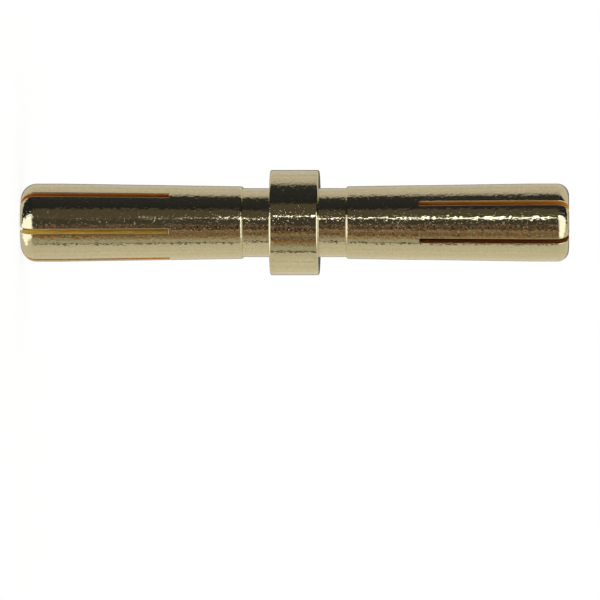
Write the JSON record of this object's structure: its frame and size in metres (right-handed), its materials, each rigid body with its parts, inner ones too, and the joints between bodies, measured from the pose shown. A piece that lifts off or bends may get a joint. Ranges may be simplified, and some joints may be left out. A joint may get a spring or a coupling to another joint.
{
  "type": "battery lead connector plug",
  "caption": "Turned gold-plated plug with a central collar and a slotted, springy, round-nosed barrel at each end, for joining battery lead sockets.",
  "frame": {"origin": "centre of the flat lower end, on the surface that the plug stands on", "axes": "+Z along the plug's axis, from the rounder lower nose to the squarer upper nose; +X and +Y only fix the turn of the slots"},
  "size_m": [0.0058, 0.0058, 0.0302],
  "materials": {
    "gold_plate": "bright gold plate over turned brass"
  },
  "bodies": {
    "root": {"connector_body": "gold_plate"}
  },
  "joints": []
}
